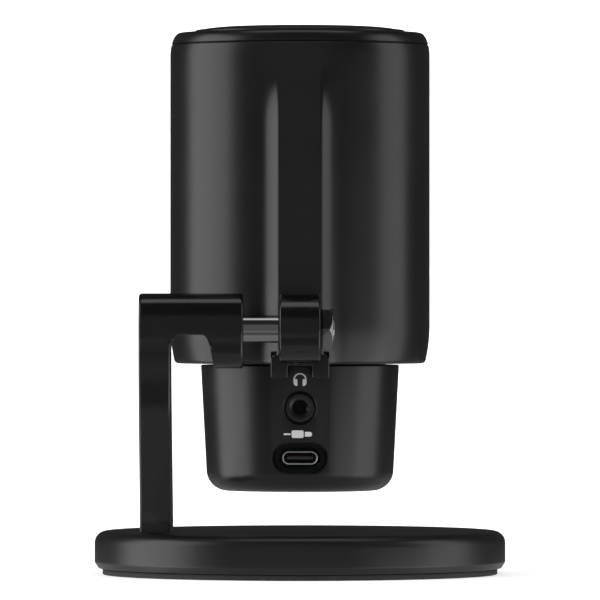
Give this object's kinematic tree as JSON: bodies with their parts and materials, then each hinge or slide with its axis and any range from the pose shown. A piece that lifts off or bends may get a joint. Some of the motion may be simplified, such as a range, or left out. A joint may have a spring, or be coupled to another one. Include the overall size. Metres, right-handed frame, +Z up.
{
  "type": "desktop microphone",
  "caption": "Desktop microphone on a weighted round stand: tilting drum-shaped body with a front grille, round mute button on top, headphone and USB-C ports in the back.",
  "frame": {"origin": "centre of the foot pad's underside, on the desk", "axes": "+Z up, -Y towards the talker (the grille side), +Y towards the ports and the hinge"},
  "size_m": [0.104, 0.104, 0.1389],
  "materials": {
    "housing_black": "satin moulded",
    "cap_black": "satin moulded",
    "hinge_black": "smooth semi-gloss",
    "arm_black": "smooth semi-gloss",
    "base_black": "fine satin",
    "grille_black": "perforated sheet, satin",
    "inner_black": "moulded",
    "collar_black": "satin moulded",
    "foam_black": "open-cell foam",
    "rubber_black": "matt",
    "board_green": "solder mask",
    "chip_black": "moulded",
    "bright_steel": "plated",
    "rod_steel": "polished, black nickel",
    "dark_steel": "blackened",
    "weight_steel": "plain disc",
    "nylon": "natural",
    "wire_grey": "insulation"
  },
  "bodies": {
    "stand": {"foot_pad": "rubber_black", "base_plate": "inner_black", "base_weight": "weight_steel", "base_shell": "base_black", "base_screw_1": "dark_steel", "base_screw_2": "dark_steel", "base_screw_3": "dark_steel", "arm_screw_1": "dark_steel", "arm_screw_2": "dark_steel", "stand_arm": "arm_black", "rod_set_screw": "dark_steel", "pivot_rod": "rod_steel", "pivot_nut": "dark_steel", "nut_washer": "bright_steel"},
    "microphone": {"friction_washer": "nylon", "lug_bush": "nylon", "hinge_bracket": "hinge_black", "upper_housing": "housing_black", "grille": "grille_black", "windscreen_foam": "foam_black", "chassis": "inner_black", "capsule": "bright_steel", "capsule_mount": "rubber_black", "capsule_clamp": "inner_black", "capsule_lead": "wire_grey", "button_ribbon": "wire_grey", "lower_housing": "housing_black", "main_board": "board_green", "audio_chip": "chip_black", "jack_body": "chip_black", "jack_collar": "collar_black", "usb_shell": "bright_steel", "usb_tongue": "chip_black", "housing_screw_1": "dark_steel", "housing_screw_2": "dark_steel", "housing_screw_3": "dark_steel", "bracket_screw_1": "dark_steel", "bracket_screw_2": "dark_steel", "board_screw_1": "dark_steel", "board_screw_2": "dark_steel", "clamp_screw_1": "dark_steel", "clamp_screw_2": "dark_steel", "top_rim": "housing_black", "switch_body": "chip_black", "button_board": "board_green", "button_deck": "inner_black", "button_spring_1": "bright_steel", "button_spring_2": "bright_steel", "button_spring_3": "bright_steel", "deck_screw_1": "dark_steel", "deck_screw_2": "dark_steel", "deck_screw_3": "dark_steel"},
    "mute_button": {"mute_cap": "cap_black", "switch_plunger": "nylon"}
  },
  "joints": [
    {"name": "mic_tilt", "type": "hinge", "parent": "stand", "child": "microphone", "pos_m": [0, 0.0344, 0.0622], "axis": [-1, 0, 0], "range_deg": [-5, 50]},
    {"name": "mute_press", "type": "slide", "parent": "microphone", "child": "mute_button", "axis": [0, 0, -1], "range_m": [0, 0.0006], "stiffness_N_per_m": 1500, "springref_m": -0.0006, "deforming": ["button_spring_1", "button_spring_2", "button_spring_3"]}
  ]
}
